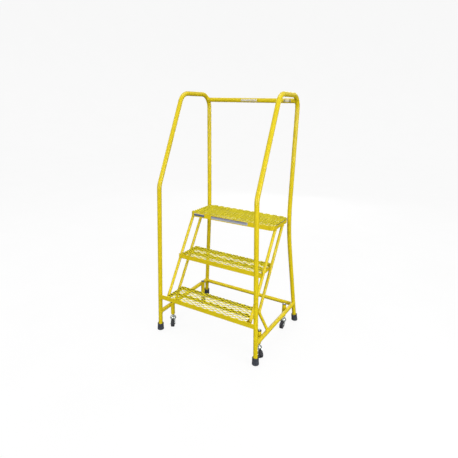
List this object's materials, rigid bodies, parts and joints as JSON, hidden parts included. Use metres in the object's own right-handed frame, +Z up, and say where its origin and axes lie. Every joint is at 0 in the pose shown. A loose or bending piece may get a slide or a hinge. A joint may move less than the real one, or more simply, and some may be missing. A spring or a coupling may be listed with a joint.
{
  "type": "mobile ladder stand",
  "caption": "Rolling step stand with expanded-metal treads, tube handrails, rubber feet and spring-loaded swivel casters that sink under load.",
  "frame": {"origin": "middle of the stand's bounding box, on the floor under the wheels", "axes": "+Z up, +Y the way the climber walks up the steps, X across the stand"},
  "size_m": [0.796, 0.6383, 1.5375],
  "materials": {
    "frame_yellow": "gloss powder coat",
    "mesh_yellow": "gloss powder coat",
    "foot_rubber": "matte",
    "zinc": "bright zinc plate",
    "spring_steel": "bright",
    "cap_black": "satin black",
    "nylon": "matte",
    "wheel_grey": "matte",
    "tyre_black": "matte",
    "label": "printed film"
  },
  "bodies": {
    "ladder": {"base_rear_bar": "frame_yellow", "base_side_rail_left": "frame_yellow", "base_side_rail_right": "frame_yellow", "bottom_step_frame": "frame_yellow", "bottom_step_mesh": "mesh_yellow", "bottom_step_nosing": "frame_yellow", "bottom_step_stiffener": "frame_yellow", "cross_bar_labels": "label", "front_left_foot": "foot_rubber", "front_left_socket": "frame_yellow", "front_right_foot": "foot_rubber", "front_right_socket": "frame_yellow", "front_stringer_left": "frame_yellow", "front_stringer_right": "frame_yellow", "handrail_frame_left": "frame_yellow", "handrail_frame_right": "frame_yellow", "middle_step_frame": "frame_yellow", "middle_step_mesh": "mesh_yellow", "middle_step_nosing": "frame_yellow", "middle_step_stiffener": "frame_yellow", "platform_frame": "frame_yellow", "platform_labels": "label", "platform_mesh": "mesh_yellow", "platform_nosing": "frame_yellow", "platform_stiffener": "frame_yellow", "rear_left_foot": "foot_rubber", "rear_left_socket": "frame_yellow", "rear_right_foot": "foot_rubber", "rear_right_socket": "frame_yellow", "rear_stringer_left": "frame_yellow", "rear_stringer_right": "frame_yellow", "socket_bushings": "nylon", "socket_caps": "cap_black", "top_cross_bar": "frame_yellow"},
    "front_left_leg": {"front_left_stem": "zinc", "front_left_spring": "spring_steel"},
    "front_left_swivel": {"front_left_fork": "zinc", "front_left_axle": "zinc"},
    "front_left_wheel": {"front_left_wheel_hub": "wheel_grey", "front_left_wheel_tyre": "tyre_black"},
    "front_right_leg": {"front_right_stem": "zinc", "front_right_spring": "spring_steel"},
    "front_right_swivel": {"front_right_fork": "zinc", "front_right_axle": "zinc"},
    "front_right_wheel": {"front_right_wheel_hub": "wheel_grey", "front_right_wheel_tyre": "tyre_black"},
    "rear_left_leg": {"rear_left_stem": "zinc", "rear_left_spring": "spring_steel"},
    "rear_left_swivel": {"rear_left_fork": "zinc", "rear_left_axle": "zinc"},
    "rear_left_wheel": {"rear_left_wheel_hub": "wheel_grey", "rear_left_wheel_tyre": "tyre_black"},
    "rear_right_leg": {"rear_right_stem": "zinc", "rear_right_spring": "spring_steel"},
    "rear_right_swivel": {"rear_right_fork": "zinc", "rear_right_axle": "zinc"},
    "rear_right_wheel": {"rear_right_wheel_hub": "wheel_grey", "rear_right_wheel_tyre": "tyre_black"}
  },
  "joints": [
    {"name": "front_left_spring_travel", "type": "slide", "parent": "ladder", "child": "front_left_leg", "axis": [0, 0, 1], "range_m": [0, 0.0085], "stiffness_N_per_m": 6000, "springref_m": -0.02, "deforming": ["front_left_spring"]},
    {"name": "front_left_swivel_turn", "type": "hinge", "parent": "front_left_leg", "child": "front_left_swivel", "pos_m": [-0.32918, -0.1985, 0.058], "axis": [0, 0, 1], "continuous": true},
    {"name": "front_left_wheel_spin", "type": "hinge", "parent": "front_left_swivel", "child": "front_left_wheel", "pos_m": [-0.31682, -0.21907, 0.0254], "axis": [0.8572, 0.515, 0], "continuous": true},
    {"name": "front_right_spring_travel", "type": "slide", "parent": "ladder", "child": "front_right_leg", "axis": [0, 0, 1], "range_m": [0, 0.0085], "stiffness_N_per_m": 6000, "springref_m": -0.02, "deforming": ["front_right_spring"]},
    {"name": "front_right_swivel_turn", "type": "hinge", "parent": "front_right_leg", "child": "front_right_swivel", "pos_m": [0.32918, -0.1985, 0.058], "axis": [0, 0, 1], "continuous": true},
    {"name": "front_right_wheel_spin", "type": "hinge", "parent": "front_right_swivel", "child": "front_right_wheel", "pos_m": [0.34809, -0.21328, 0.0254], "axis": [0.6157, 0.788, 0], "continuous": true},
    {"name": "rear_left_spring_travel", "type": "slide", "parent": "ladder", "child": "rear_left_leg", "axis": [0, 0, 1], "range_m": [0, 0.0085], "stiffness_N_per_m": 6000, "springref_m": -0.02, "deforming": ["rear_left_spring"]},
    {"name": "rear_left_swivel_turn", "type": "hinge", "parent": "rear_left_leg", "child": "rear_left_swivel", "pos_m": [-0.33493, 0.1815, 0.058], "axis": [0, 0, 1], "continuous": true},
    {"name": "rear_left_wheel_spin", "type": "hinge", "parent": "rear_left_swivel", "child": "rear_left_wheel", "pos_m": [-0.3195, 0.16312, 0.0254], "axis": [0.766, 0.6428, 0], "continuous": true},
    {"name": "rear_right_spring_travel", "type": "slide", "parent": "ladder", "child": "rear_right_leg", "axis": [0, 0, 1], "range_m": [0, 0.0085], "stiffness_N_per_m": 6000, "springref_m": -0.02, "deforming": ["rear_right_spring"]},
    {"name": "rear_right_swivel_turn", "type": "hinge", "parent": "rear_right_leg", "child": "rear_right_swivel", "pos_m": [0.33493, 0.1815, 0.058], "axis": [0, 0, 1], "continuous": true},
    {"name": "rear_right_wheel_spin", "type": "hinge", "parent": "rear_right_swivel", "child": "rear_right_wheel", "pos_m": [0.3366, 0.15756, 0.0254], "axis": [0.9976, 0.0698, 0], "continuous": true}
  ]
}
